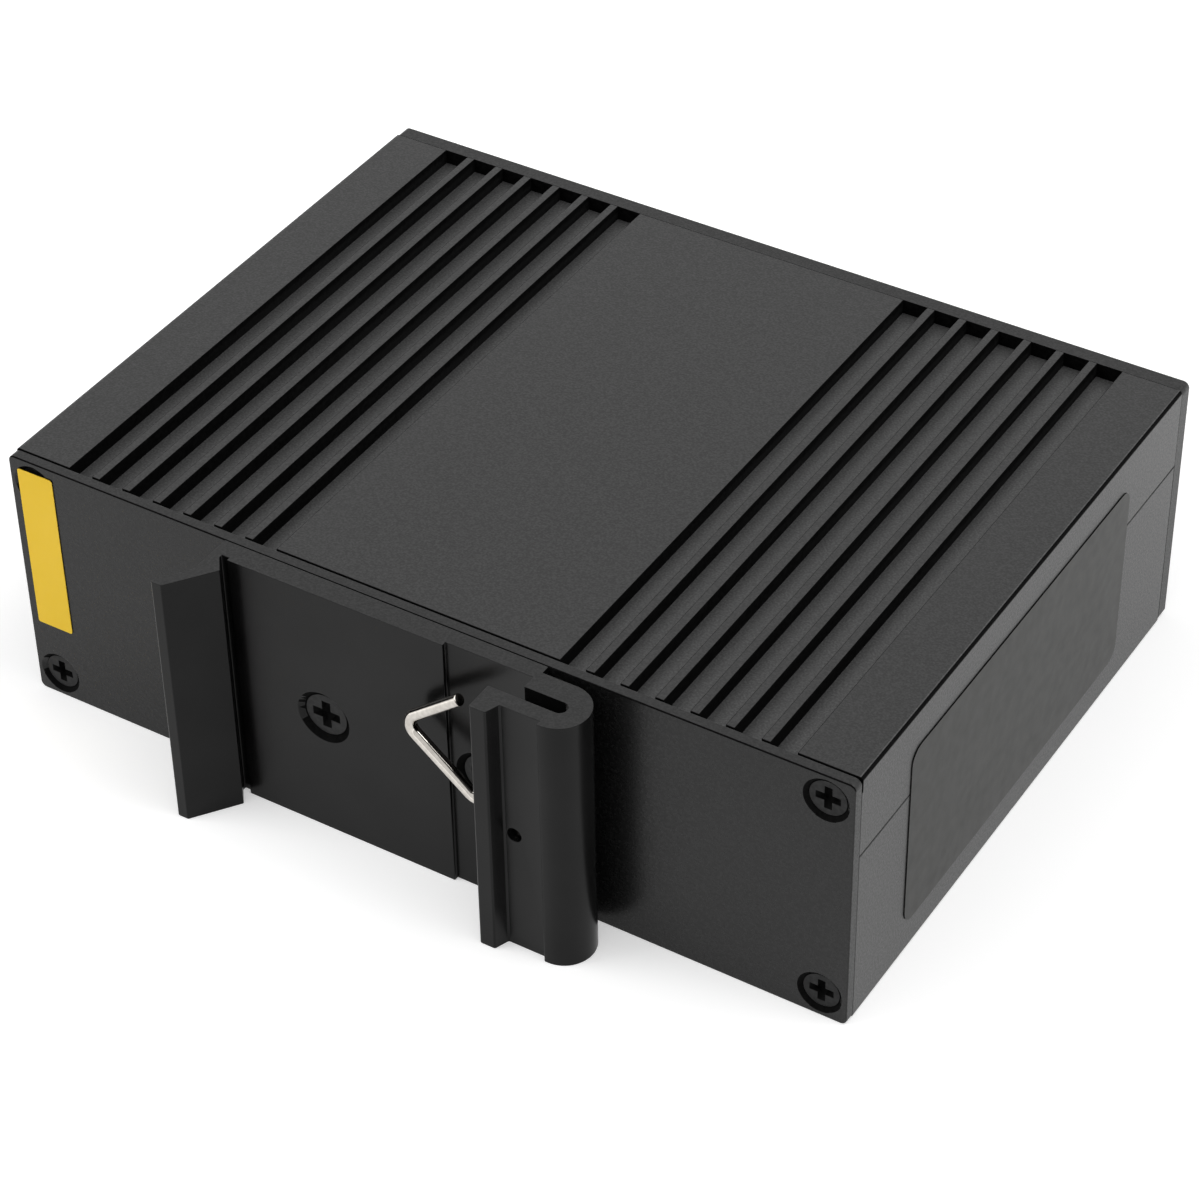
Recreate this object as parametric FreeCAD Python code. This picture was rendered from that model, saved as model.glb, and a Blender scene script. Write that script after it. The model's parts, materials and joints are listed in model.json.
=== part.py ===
import FreeCAD, Part
import math
import os

# Slim network power splitter in a ribbed aluminium case, made to clip onto a 35 mm equipment rail.
# It lies on its broad face: X runs along the case's long edge, Y from the rail bracket at the rear
# to the ports at the front, and Z up. The origin is the middle of the case's underside. Sizes in mm.

# Case, outside and walls
case_width = 95.0
case_depth = 70.0
case_height = 30.0
case_edge_radius = 0.4
side_wall = 1.6
floor_wall = 1.8
roof_wall = 1.6

# Seam between the two shells, a lap joint
top_shell_side = 9.5
lap_height = 2.0
lap_thickness = 0.8
lap_clearance = 0.1
seam_gap = 0.16

# Cooling channels in the top shell, one group along each long side
channel_count = 7
channel_width = 2.74
channel_depth = 1.6
ridge_width = 0.95
channel_margin = 6.65

# End plates
rear_plate_thickness = 1.2
front_plate_thickness = 1.7
plate_corner_radius = 0.7
shell_end_gap = 0.15

# Countersunk screws in the plate corners, and the bosses that they tap into
plate_screw_inset = 2.9
plate_screw_diameter = 2.2
plate_screw_length = 8.0
plate_head_sunk = 0.35
boss_wall = 1.35
thread_clearance = 0.05
sink_clearance = 0.1
cross_slot_share = 0.2
cross_span_share = 0.66
cross_depth = 0.8

# Rail bracket, an extrusion cut to the case's height
rail_width = 35.0
rail_offset = -1.65
rail_flange = 1.0
rail_in_slide = 0.75
bracket_thickness = 2.4
bracket_step = 0.5
bracket_step_place = 5.5
hook_wall = 1.1
hook_slot = 1.6
hook_slot_depth = 1.2
hook_relief_width = 0.85
hook_relief_depth = 0.4
hook_lip = 1.25
hook_reach = 8.7
hook_lip_lean = 36.0
arm_gap = 0.95
arm_gap_start = 0.45
rear_arm = 2.5
slide_slot = 1.55
slide_slot_depth = 5.1
front_arm = 1.75
front_arm_overhang = 2.9
nose_proud = 0.55
nose_flat = 0.55
nose_wall = 2.2
catch_reach = 1.55
catch_width = 1.75
catch_lean = 0.6
bracket_fillet = 0.25

# Countersunk screws that hold the bracket, and the nuts behind the plate
bracket_screw_spacing = 18.0
bracket_screw_level = 14.6
bracket_screw_diameter = 3.0
bracket_screw_length = 6.0
bracket_sink_diameter = 6.0
bracket_head_sunk = 0.5
nut_across = 5.5
nut_height = 2.4
screw_hole_clearance = 0.15

# Wire spring that pushes the rail into the hook
wire_diameter = 1.25
wire_level = 14.4
wire_hole_clearance = 0.15
wire_hole_inset = 0.5
wire_tail_sunk = 0.7
wire_elbow_run = 6.1
wire_elbow_radius = 1.5
wire_leg_back = 7.7
wire_leg_rise = 6.3
wire_tip_radius = 1.5
wire_free_run = 6.6
wire_free_rise = 5.3

# Circuit board and the ribs that it slides between
board_thickness = 1.6
board_clearance = 0.2
board_above_boss = 0.2
rib_reach = 1.5
rib_thickness = 1.2

# Network jacks
jack_width = 16.0
jack_height = 13.4
jack_depth = 21.0
jack_proud = 0.4
jack_pitch = 18.0
jack_from_side = 13.5
jack_shield = 0.3
jack_cutout_clearance = 0.2
plug_hole_width = 11.9
plug_hole_height = 8.0
plug_hole_depth = 13.0
plug_hole_lift = 3.6
latch_width = 6.2
latch_height = 1.4
shield_lip = 0.25
contact_count = 8
contact_pitch = 1.02
contact_width = 0.45
contact_thickness = 0.35
contact_start = 2.5
contact_land = 2.0
contact_reach = 8.5
contact_drop = 2.0

# Output terminal: a header on the board and a plug with clamping screws
terminal_poles = 2
terminal_pitch = 5.08
terminal_end = 1.02
terminal_from_side = 11.5
header_height = 8.4
header_depth = 12.0
header_wall = 1.0
header_cavity_depth = 8.5
header_cutout_clearance = 0.2
pin_width = 1.0
pin_clearance = 0.1
pin_tip_back = 2.0
pin_leg_gap = 0.6
terminal_plug_clearance = 0.15
terminal_plug_nose = 7.5
terminal_plug_reach = 11.0
terminal_plug_gap = 0.4
terminal_plug_height = 13.5
terminal_plug_lift = 0.4
terminal_plug_bevel = 2.0
wire_entry_width = 3.4
wire_entry_height = 3.8
wire_entry_depth = 8.5
pole_groove_width = 0.6
pole_groove_depth = 0.5
clamp_wall = 0.5
clamp_length = 7.0
clamp_inset = 1.0
clamp_clearance = 0.05
clamp_screw_diameter = 3.0
clamp_screw_well = 3.3
clamp_screw_back = 5.0
clamp_screw_sunk = 0.8
slot_width = 0.6
slot_depth = 0.8

# Ground screw
ground_from_terminal = 5.5
ground_screw_diameter = 3.0
ground_screw_length = 5.0
ground_head_diameter = 5.6
ground_head_height = 2.0
ground_washer_diameter = 6.4
ground_washer_thickness = 0.6

# Status lights
light_count = 2
light_width = 2.0
light_height = 3.6
light_pitch = 4.8
light_from_jack = 4.0
light_level = 6.6
light_proud = 0.4
light_hole_clearance = 0.1
light_holder_width = 4.0
light_holder_depth = 5.0
light_holder_over = 2.0
light_holder_gap = 0.3

# Parts on the board
rear_row = 11.0
rear_row_gap = 3.0
lan_width = 17.0
lan_depth = 11.0
lan_height = 6.0
lan_gap = 2.0
chip_chamfer = 0.4
core_width = 16.0
core_height = 12.0
core_depth = 5.0
core_yoke = 2.0
core_leg = 4.0
winding_depth = 11.6
winding_gap = 0.1
transformer_base_height = 2.0
can_diameter = 10.0
can_height = 15.0
small_capacitor_width = 4.3
small_capacitor_depth = 7.3
small_capacitor_height = 4.0
small_capacitor_count = 2
capacitor_gap = 2.0
bridge_size = 6.4
bridge_height = 2.5
bridge_gap = 1.3
chip_length = 10.0
chip_width = 6.0
chip_height = 1.8
power_body_width = 6.6
power_body_length = 6.0
power_body_height = 2.3
power_tab = 1.2
power_tab_thickness = 0.6
inductor_width = 10.0
inductor_height = 6.0
inductor_wall_gap = 0.5

# Places that follow from the sizes above
V = FreeCAD.Vector
half_width = case_width / 2
rear_y = -case_depth / 2
front_y = case_depth / 2
shell_rear_y = rear_y + rear_plate_thickness
shell_front_y = front_y - front_plate_thickness
inner_half = half_width - side_wall
seam_z = case_height - top_shell_side
screw_x = half_width - plate_screw_inset
screw_low_z = plate_screw_inset
screw_high_z = case_height - plate_screw_inset
screw_hole_radius = plate_screw_diameter / 2 + thread_clearance
boss_reach = screw_hole_radius + boss_wall
board_low_z = plate_screw_inset + boss_reach + board_above_boss
board_top_z = board_low_z + board_thickness
board_rear_y = shell_rear_y + board_clearance
board_front_y = shell_front_y - board_clearance
middle_z = case_height / 2
rail_left = rail_offset - rail_width / 2
hook_root_x = rail_left - rail_flange * hook_slot_depth / hook_slot
slide_mouth_x = rail_offset + rail_width / 2 - rail_in_slide
slot_back = arm_gap + rear_arm
slot_front = slot_back + slide_slot
arm_front = slot_front + front_arm
wire_out = slot_back + slide_slot / 2
wire_hole_x = slide_mouth_x + wire_hole_inset
input_jack_x = half_width - jack_from_side
output_jack_x = input_jack_x - jack_pitch
terminal_width = terminal_poles * terminal_pitch + 2 * terminal_end
terminal_x = terminal_from_side - half_width
header_low_z = board_top_z
header_middle_z = header_low_z + header_height / 2
header_rear_y = front_y - header_depth
ground_x = terminal_x + terminal_width / 2 + ground_from_terminal
light_z = board_top_z + light_level
jack_rear_y = front_y + jack_proud - jack_depth
rear_row_y = board_rear_y + rear_row


def block(x0, x1, y0, y1, z0, z1):
    """Box between two corners."""
    return Part.makeBox(x1 - x0, y1 - y0, z1 - z0, V(x0, y0, z0))


def rounded_face(corners, place):
    """Flat face with corners (u, v, radius); place turns u, v into a point in space."""
    count = len(corners)
    entries = []
    crowns = []
    leaves = []
    for i, (u, v, radius) in enumerate(corners):
        corner = V(u, v, 0)
        back = V(corners[i - 1][0], corners[i - 1][1], 0) - corner
        ahead = V(corners[(i + 1) % count][0], corners[(i + 1) % count][1], 0) - corner
        back.normalize()
        ahead.normalize()
        half_turn = back.getAngle(ahead) / 2
        reach = radius / math.tan(half_turn)
        middle = back + ahead
        if radius:
            middle.normalize()
        entries.append(corner + back * reach)
        leaves.append(corner + ahead * reach)
        crowns.append(corner + middle * (radius / math.sin(half_turn) - radius))
    edges = []
    for i in range(count):
        if corners[i][2]:
            points = [place(p.x, p.y) for p in (entries[i], crowns[i], leaves[i])]
            edges.append(Part.Arc(*points).toShape())
        start = leaves[i]
        end = entries[(i + 1) % count]
        if start.distanceToPoint(end) > 1e-6:
            edges.append(Part.LineSegment(place(start.x, start.y), place(end.x, end.y)).toShape())
    return Part.Face(Part.Wire(edges))


def along_y(corners, y0, y1):
    """Bar along Y whose section is given in X and Z."""
    face = rounded_face(corners, lambda x, z: V(x, y0, z))
    return face.extrude(V(0, y1 - y0, 0))


def along_x(corners, x0, x1):
    """Bar along X whose section is given in Y and Z."""
    face = rounded_face(corners, lambda y, z: V(x0, y, z))
    return face.extrude(V(x1 - x0, 0, 0))


def rod_y(x, z, radius, y0, y1):
    """Round bar along Y."""
    return Part.makeCylinder(radius, y1 - y0, V(x, y0, z), V(0, 1, 0))


def rod_z(x, y, radius, z0, z1):
    """Upright round bar."""
    return Part.makeCylinder(radius, z1 - z0, V(x, y, z0))


def cone_y(x, z, radius0, radius1, y0, y1):
    """Cone along Y, from one radius at y0 to another at y1."""
    return Part.makeCone(radius0, radius1, y1 - y0, V(x, y0, z), V(0, 1, 0))


def mirrored_x(shape):
    """The same shape on the other side of the case's middle."""
    return shape.mirror(V(0, 0, 0), V(1, 0, 0))


def facing_front(shape):
    """A piece made for the rear face, turned round to the front face."""
    return shape.mirror(V(0, 0, 0), V(0, 1, 0))


def fused(shapes):
    """One solid from overlapping shapes, with no seams left on its faces."""
    return shapes[0].multiFuse(shapes[1:]).removeSplitter()


def rounded_plate(x0, x1, z0, z1, radius, y0, y1):
    """Upright plate with rounded corners, across the Y axis."""
    corners = [(x0, z0, radius), (x1, z0, radius), (x1, z1, radius), (x0, z1, radius)]
    return along_y(corners, y0, y1)


def screw_bosses(z0, z1):
    """Pair of square screw bosses that run the length of a shell in its corners."""
    right = block(screw_x - boss_reach, inner_half, shell_rear_y, shell_front_y, z0, z1)
    return [right, mirrored_x(right)]


def boss_holes(z):
    """The holes through a pair of bosses."""
    right = rod_y(screw_x, z, screw_hole_radius, shell_rear_y, shell_front_y)
    return [right, mirrored_x(right)]


def bottom_shell():
    """Deep lower channel with the tongues of the lap joint and the board's ribs."""
    tongue_out = inner_half + lap_thickness
    tongue_top = seam_z + lap_height
    rib_half = inner_half - rib_reach
    rib_low = board_low_z - rib_thickness
    upper_low = board_top_z + board_clearance
    upper_top = upper_low + rib_thickness
    right = [
        (half_width, 0, case_edge_radius),
        (half_width, seam_z, 0),
        (tongue_out, seam_z, 0),
        (tongue_out, tongue_top, 0),
        (inner_half, tongue_top, 0),
        (inner_half, upper_top, 0),
        (rib_half, upper_top, 0),
        (rib_half, upper_low, 0),
        (inner_half, upper_low, 0),
        (inner_half, board_low_z, 0),
        (rib_half, board_low_z, 0),
        (rib_half, rib_low, 0),
        (inner_half, rib_low, 0),
        (inner_half, floor_wall, 0),
    ]
    left = [(-x, z, radius) for x, z, radius in reversed(right)]
    channel = along_y(right + left, shell_rear_y, shell_front_y)
    bosses = screw_bosses(floor_wall, screw_low_z + boss_reach)
    return fused([channel] + bosses).cut(boss_holes(screw_low_z))


def top_shell():
    """Shallow upper channel, ribbed along the top, that sits on the lower shell's tongues.

    At the rear its ridges stop short of the end plate.
    """
    skirt_in = inner_half + lap_thickness + lap_clearance
    skirt_low = seam_z + seam_gap
    lap_top = seam_z + lap_height
    channel_floor = case_height - channel_depth
    ceiling = channel_floor - roof_wall
    group_start = half_width - channel_margin
    pitch = channel_width + ridge_width
    right = [(inner_half, ceiling, 0), (inner_half, lap_top, 0), (skirt_in, lap_top, 0)]
    right += [(skirt_in, skirt_low, 0), (half_width, skirt_low, 0)]
    right.append((half_width, case_height, case_edge_radius))
    for i in range(channel_count):
        outer = group_start - i * pitch
        inner = outer - channel_width
        right.append((outer, case_height, 0))
        right.append((outer, channel_floor, 0))
        right.append((inner, channel_floor, 0))
        right.append((inner, case_height, 0))
    left = [(-x, z, radius) for x, z, radius in reversed(right)]
    roof = along_y(right + left, shell_rear_y, shell_front_y)
    bosses = screw_bosses(screw_high_z - boss_reach, ceiling)
    relief_y = shell_rear_y + shell_end_gap
    relief = block(-half_width, half_width, shell_rear_y, relief_y, channel_floor, case_height)
    return fused([roof] + bosses).cut(boss_holes(screw_high_z) + [relief])


def corner_places():
    """The four corner screws' places, seen along Y."""
    return [(x, z) for x in (-screw_x, screw_x) for z in (screw_low_z, screw_high_z)]


def plate_sink_radius(thickness):
    """Mouth of a countersink whose cone narrows to the screw's shank across a plate."""
    return plate_screw_diameter / 2 + sink_clearance + thickness


def plate_sink(x, z, thickness):
    """Countersunk hole in the rear plate."""
    sink_radius = plate_sink_radius(thickness)
    return cone_y(x, z, sink_radius, sink_radius - thickness, rear_y, rear_y + thickness)


def screw_hole(x, z, diameter, thickness):
    """Clearance hole in the rear plate for a screw that a nut holds."""
    return rod_y(x, z, diameter / 2 + screw_hole_clearance, rear_y, rear_y + thickness)


def rear_plate():
    """Flat plate that closes the rear end, level with the shells."""
    plate = rounded_plate(-half_width, half_width, 0, case_height,
                          plate_corner_radius, rear_y, shell_rear_y)
    holes = [plate_sink(x, z, rear_plate_thickness) for x, z in corner_places()]
    for x in bracket_screw_places():
        holes.append(screw_hole(x, bracket_screw_level, bracket_screw_diameter, rear_plate_thickness))
    return plate.cut(holes)


def cut_out(x, width, z0, z1, clearance):
    """Square opening through the front plate."""
    return block(x - width / 2 - clearance, x + width / 2 + clearance,
                 shell_front_y, front_y, z0 - clearance, z1 + clearance)


def front_plate():
    """Flat plate that carries the ports, level with the shells."""
    plate = rounded_plate(-half_width, half_width, 0, case_height,
                          plate_corner_radius, shell_front_y, front_y)
    holes = [facing_front(plate_sink(x, z, front_plate_thickness)) for x, z in corner_places()]
    ground_hole = screw_hole(ground_x, middle_z, ground_screw_diameter, front_plate_thickness)
    holes.append(facing_front(ground_hole))
    for x in (input_jack_x, output_jack_x):
        holes.append(cut_out(x, jack_width, board_top_z, board_top_z + jack_height, jack_cutout_clearance))
    header_top = header_low_z + header_height
    holes.append(cut_out(terminal_x, terminal_width, header_low_z, header_top, header_cutout_clearance))
    light_half = light_height / 2
    for x in light_places():
        holes.append(cut_out(x, light_width, light_z - light_half, light_z + light_half,
                             light_hole_clearance))
    return plate.cut(holes)


def cross_recess(x, z, head_radius, y):
    """Cross-shaped driver recess in a screw head that faces the rear, with wings that taper inwards."""
    slot = head_radius * cross_slot_share
    span = head_radius * cross_span_share
    bottom = y + cross_depth
    wings = [(-span, y, 0), (span, y, 0), (slot, bottom, 0), (-slot, bottom, 0)]
    wide = rounded_face(wings, lambda u, depth: V(x + u, depth, z - slot))
    tall = rounded_face(wings, lambda u, depth: V(x - slot, depth, z + u))
    return [wide.extrude(V(0, 0, 2 * slot)), tall.extrude(V(2 * slot, 0, 0))]


def countersunk_screw(x, z, outer_y, sink_radius, sunk, shank_radius, length):
    """Countersunk screw that faces the rear; its head lies parallel to its sink."""
    head_radius = sink_radius - sink_clearance - sunk
    head_y = outer_y + sunk
    neck_y = outer_y + sink_radius - sink_clearance - shank_radius
    head = cone_y(x, z, head_radius, shank_radius, head_y, neck_y)
    shank = rod_y(x, z, shank_radius, neck_y, head_y + length)
    return fused([head, shank]).cut(cross_recess(x, z, head_radius, head_y))


def plate_screws(thickness):
    """Four corner screws, made for the rear plate."""
    radius = plate_screw_diameter / 2
    sink_radius = plate_sink_radius(thickness)
    return [
        countersunk_screw(x, z, rear_y, sink_radius, plate_head_sunk, radius, plate_screw_length)
        for x, z in corner_places()
    ]


def bracket_screw_places():
    """The bracket screws' places along X."""
    return [-bracket_screw_spacing / 2, bracket_screw_spacing / 2]


def bracket_outline():
    """Section of the rail bracket, as X and distance out from the rear plate."""
    hook_x = hook_root_x - hook_wall
    lip_tip_x = hook_root_x + hook_slot_depth
    relief_x = hook_root_x + hook_relief_width
    relief_out = bracket_thickness - hook_relief_depth
    slot_out = bracket_thickness + hook_slot
    lean = math.tan(math.radians(hook_lip_lean))
    lip_end_x = lip_tip_x - (hook_reach - slot_out) * lean
    lip_run = hook_lip / math.cos(math.radians(hook_lip_lean))
    lip_back_x = lip_end_x - lip_run
    lip_root = hook_reach - (hook_x - lip_back_x) / lean
    slot_end = slide_mouth_x + slide_slot_depth
    nose_end = slot_end + nose_wall
    nose_start = slot_end - slide_slot / 2 - nose_flat
    nose_out = arm_front + nose_proud
    nose_radius = (nose_out - arm_gap) / 2
    catch_x = slide_mouth_x - front_arm_overhang
    catch_out = arm_front + catch_reach
    fillet = bracket_fillet
    stepped = bracket_thickness - bracket_step
    return [
        (hook_x, 0, 0),
        (slide_mouth_x + arm_gap_start, 0, 0),
        (slide_mouth_x + arm_gap_start, arm_gap, 0),
        (nose_end, arm_gap, nose_radius),
        (nose_end, nose_out, nose_radius),
        (nose_start, nose_out, 0),
        (nose_start, arm_front, 0),
        (catch_x + catch_width + catch_lean, arm_front, fillet),
        (catch_x + catch_width, catch_out, fillet),
        (catch_x, catch_out, fillet),
        (catch_x, slot_front, 0),
        (slot_end, slot_front, slide_slot / 2),
        (slot_end, slot_back, slide_slot / 2),
        (slide_mouth_x, slot_back, 0),
        (slide_mouth_x, stepped, 0),
        (bracket_step_place, stepped, 0),
        (bracket_step_place, bracket_thickness, 0),
        (relief_x, bracket_thickness, 0),
        (relief_x, relief_out, 0),
        (hook_root_x, relief_out, 0),
        (hook_root_x, bracket_thickness, 0),
        (lip_tip_x, slot_out, 0),
        (lip_end_x, hook_reach, fillet),
        (lip_back_x, hook_reach, fillet),
        (hook_x, lip_root, hook_wall),
    ]


def rail_bracket():
    """Extruded bracket with a fixed hook, a slide slot with a round nose, and a hole for the wire."""
    face = rounded_face(bracket_outline(), lambda x, out: V(x, rear_y - out, 0))
    bar = face.extrude(V(0, 0, case_height))
    cuts = []
    sink_radius = bracket_sink_diameter / 2
    hole_radius = bracket_screw_diameter / 2 + sink_clearance
    for x in bracket_screw_places():
        surface_y = rear_y - bracket_surface(x)
        sink_end = surface_y + sink_radius - hole_radius
        cuts.append(cone_y(x, bracket_screw_level, sink_radius, hole_radius, surface_y, sink_end))
        cuts.append(rod_y(x, bracket_screw_level, hole_radius, sink_end, rear_y))
    wire_hole_radius = wire_diameter / 2 + wire_hole_clearance
    cuts.append(rod_y(wire_hole_x, wire_level, wire_hole_radius, rear_y - arm_front, rear_y - wire_out))
    return bar.cut(cuts)


def bracket_surface(x):
    """How far the bracket's face stands out from the rear plate at one place along X."""
    if x < bracket_step_place:
        return bracket_thickness
    return bracket_thickness - bracket_step


def bracket_screws():
    """Two countersunk screws through the bracket and the rear plate."""
    radius = bracket_screw_diameter / 2
    sink_radius = bracket_sink_diameter / 2
    return [
        countersunk_screw(x, bracket_screw_level, rear_y - bracket_surface(x), sink_radius,
                          bracket_head_sunk, radius, bracket_screw_length)
        for x in bracket_screw_places()
    ]


def hexagon_nut(x, z, diameter, thickness):
    """Hexagon nut that lies against the inside of the rear plate."""
    reach = nut_across / math.sqrt(3)
    inner_y = rear_y + thickness
    outer_y = inner_y + nut_height
    turns = [math.radians(angle) for angle in range(0, 360, 60)]
    corners = [(x + reach * math.cos(turn), z + reach * math.sin(turn), 0) for turn in turns]
    bore = rod_y(x, z, diameter / 2 + thread_clearance, inner_y, outer_y)
    return along_y(corners, inner_y, outer_y).cut(bore)


def bracket_nuts():
    """Nuts behind the rear plate for the bracket's screws."""
    return [hexagon_nut(x, bracket_screw_level, bracket_screw_diameter, rear_plate_thickness)
            for x in bracket_screw_places()]


def spring_wire():
    """Bent wire: free end, rounded tip, lower leg, and a tail that is kinked into the bracket's hole."""
    elbow_x = wire_hole_x - wire_elbow_run
    tip_x = elbow_x - wire_leg_back
    tip_z = wire_level + wire_leg_rise
    level_y = rear_y - wire_out
    route = [
        (V(tip_x + wire_free_run, level_y, tip_z + wire_free_rise), 0),
        (V(tip_x, level_y, tip_z), wire_tip_radius),
        (V(elbow_x, level_y, wire_level), wire_elbow_radius),
        (V(wire_hole_x, level_y, wire_level), 0),
        (V(wire_hole_x, rear_y - arm_front + wire_tail_sunk, wire_level), 0),
    ]
    edges = []
    last = route[0][0]
    for i in range(1, len(route) - 1):
        corner, radius = route[i]
        if not radius:
            edges.append(Part.LineSegment(last, corner).toShape())
            last = corner
            continue
        back = route[i - 1][0] - corner
        ahead = route[i + 1][0] - corner
        back.normalize()
        ahead.normalize()
        half_turn = back.getAngle(ahead) / 2
        reach = radius / math.tan(half_turn)
        middle = back + ahead
        middle.normalize()
        entry = corner + back * reach
        leave = corner + ahead * reach
        crown = corner + middle * (radius / math.sin(half_turn) - radius)
        edges.append(Part.LineSegment(last, entry).toShape())
        edges.append(Part.Arc(entry, crown, leave).toShape())
        last = leave
    edges.append(Part.LineSegment(last, route[-1][0]).toShape())
    mitred_corners = 1
    start = route[0][0]
    direction = route[1][0] - start
    section = Part.Wire(Part.makeCircle(wire_diameter / 2, start, direction))
    return Part.Wire(edges).makePipeShell([section], True, False, mitred_corners)


def circuit_board():
    """Board that slides between the lower shell's ribs."""
    edge = inner_half - board_clearance
    return block(-edge, edge, board_rear_y, board_front_y, board_low_z, board_top_z)


def jack_insert(x):
    """Moulded body of a network jack with its plug cavity and latch slot."""
    half = jack_width / 2 - jack_shield
    face_y = front_y + jack_proud - jack_shield
    top = board_top_z + jack_height - jack_shield
    body = block(x - half, x + half, jack_rear_y + jack_shield, face_y, board_top_z, top)
    low = board_top_z + plug_hole_lift
    back = face_y - plug_hole_depth
    hole_half = plug_hole_width / 2
    hole = block(x - hole_half, x + hole_half, back, face_y, low, low + plug_hole_height)
    latch = block(x - latch_width / 2, x + latch_width / 2, back, face_y, low - latch_height, low)
    return body.cut([hole, latch])


def jack_shield_shell(x):
    """Folded metal shield round a jack, open below and at the plug cavity."""
    half = jack_width / 2
    face_y = front_y + jack_proud
    top = board_top_z + jack_height
    skin = jack_shield
    body = block(x - half, x + half, jack_rear_y, face_y, board_top_z, top)
    inside = block(x - half + skin, x + half - skin, jack_rear_y + skin, face_y - skin,
                   board_top_z, top - skin)
    low = board_top_z + plug_hole_lift - latch_height - shield_lip
    high = board_top_z + plug_hole_lift + plug_hole_height + shield_lip
    mouth_half = plug_hole_width / 2 + shield_lip
    mouth = block(x - mouth_half, x + mouth_half, face_y - skin, face_y, low, high)
    return body.cut([inside, mouth])


def jack_contacts(x):
    """Row of sprung contacts that slope down from the cavity's ceiling."""
    face_y = front_y + jack_proud - jack_shield
    ceiling = board_top_z + plug_hole_lift + plug_hole_height
    start = face_y - contact_start
    bend = start - contact_land
    end = start - contact_reach
    corners = [
        (start, ceiling, 0),
        (bend, ceiling, 0),
        (end, ceiling - contact_drop, 0),
        (end, ceiling - contact_drop - contact_thickness, 0),
        (bend, ceiling - contact_thickness, 0),
        (start, ceiling - contact_thickness, 0),
    ]
    first = x - (contact_count - 1) * contact_pitch / 2
    contacts = []
    for i in range(contact_count):
        middle = first + i * contact_pitch
        contacts.append(along_x(corners, middle - contact_width / 2, middle + contact_width / 2))
    return contacts


def pole_places():
    """The terminal poles' places along X."""
    first = terminal_x - (terminal_poles - 1) * terminal_pitch / 2
    return [first + i * terminal_pitch for i in range(terminal_poles)]


def square_bar(x, z, width, y0, y1):
    """Square bar along Y."""
    return block(x - width / 2, x + width / 2, y0, y1, z - width / 2, z + width / 2)


def terminal_header():
    """Shrouded header on the board, open to the front, with holes for its pins."""
    half = terminal_width / 2
    top = header_low_z + header_height
    body = block(terminal_x - half, terminal_x + half, header_rear_y, front_y, header_low_z, top)
    cavity = block(terminal_x - half + header_wall, terminal_x + half - header_wall,
                   front_y - header_cavity_depth, front_y, header_low_z + header_wall, top - header_wall)
    holes = [square_bar(x, header_middle_z, pin_width + pin_clearance, header_rear_y, front_y)
             for x in pole_places()]
    return body.cut([cavity] + holes)


def terminal_pins():
    """Pins that reach into the shroud and turn down to the board behind it."""
    leg_front = header_rear_y - pin_leg_gap
    leg_rear = leg_front - pin_width
    pins = []
    for x in pole_places():
        blade = square_bar(x, header_middle_z, pin_width, leg_rear, front_y - pin_tip_back)
        leg = block(x - pin_width / 2, x + pin_width / 2, leg_rear, leg_front, board_top_z, header_middle_z)
        pins.append(fused([blade, leg]))
    return pins


def plug_outer_y():
    """Outer face of the terminal plug."""
    return front_y + terminal_plug_reach


def terminal_plug():
    """Plug with a nose in the shroud, wire entries in front, screw wells on top and grooved poles."""
    half = terminal_width / 2
    inner_y = front_y + terminal_plug_gap
    low = header_low_z + terminal_plug_lift
    top = low + terminal_plug_height
    outer_y = plug_outer_y()
    side = [
        (inner_y, low, 0),
        (outer_y, low, 0),
        (outer_y, top - terminal_plug_bevel, 0),
        (outer_y - terminal_plug_bevel, top, 0),
        (inner_y, top, 0),
    ]
    body = along_x(side, terminal_x - half, terminal_x + half)
    inset = header_wall + terminal_plug_clearance
    nose = block(terminal_x - half + inset, terminal_x + half - inset, front_y - terminal_plug_nose, inner_y,
                 header_low_z + inset, header_low_z + header_height - inset)
    cuts = []
    entry_half = wire_entry_width / 2
    socket = pin_width + 2 * terminal_plug_clearance
    poles = pole_places()
    for left, right in zip(poles, poles[1:]):
        groove = (left + right - pole_groove_width) / 2
        groove_end = groove + pole_groove_width
        cuts.append(block(groove, groove_end, outer_y - pole_groove_depth, outer_y, low, top))
        cuts.append(block(groove, groove_end, inner_y, outer_y, top - pole_groove_depth, top))
    for x in poles:
        cuts.append(square_bar(x, header_middle_z, socket, front_y - terminal_plug_nose, outer_y))
        cuts.append(block(x - entry_half, x + entry_half, outer_y - wire_entry_depth, outer_y,
                          header_middle_z - wire_entry_height / 2, header_middle_z + wire_entry_height / 2))
        cuts.append(rod_z(x, outer_y - clamp_screw_back, clamp_screw_well / 2, header_middle_z, top))
    return fused([body, nose]).cut(cuts)


def terminal_clamps():
    """Clamp sleeves in the plug's wire entries."""
    outer_y = plug_outer_y() - clamp_inset
    half = wire_entry_width / 2 - clamp_clearance
    rise = wire_entry_height / 2 - clamp_clearance
    clamps = []
    for x in pole_places():
        sleeve = block(x - half, x + half, outer_y - clamp_length, outer_y,
                       header_middle_z - rise, header_middle_z + rise)
        bore = block(x - half + clamp_wall, x + half - clamp_wall, outer_y - clamp_length, outer_y,
                     header_middle_z - rise + clamp_wall, header_middle_z + rise - clamp_wall)
        clamps.append(sleeve.cut(bore))
    return clamps


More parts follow.
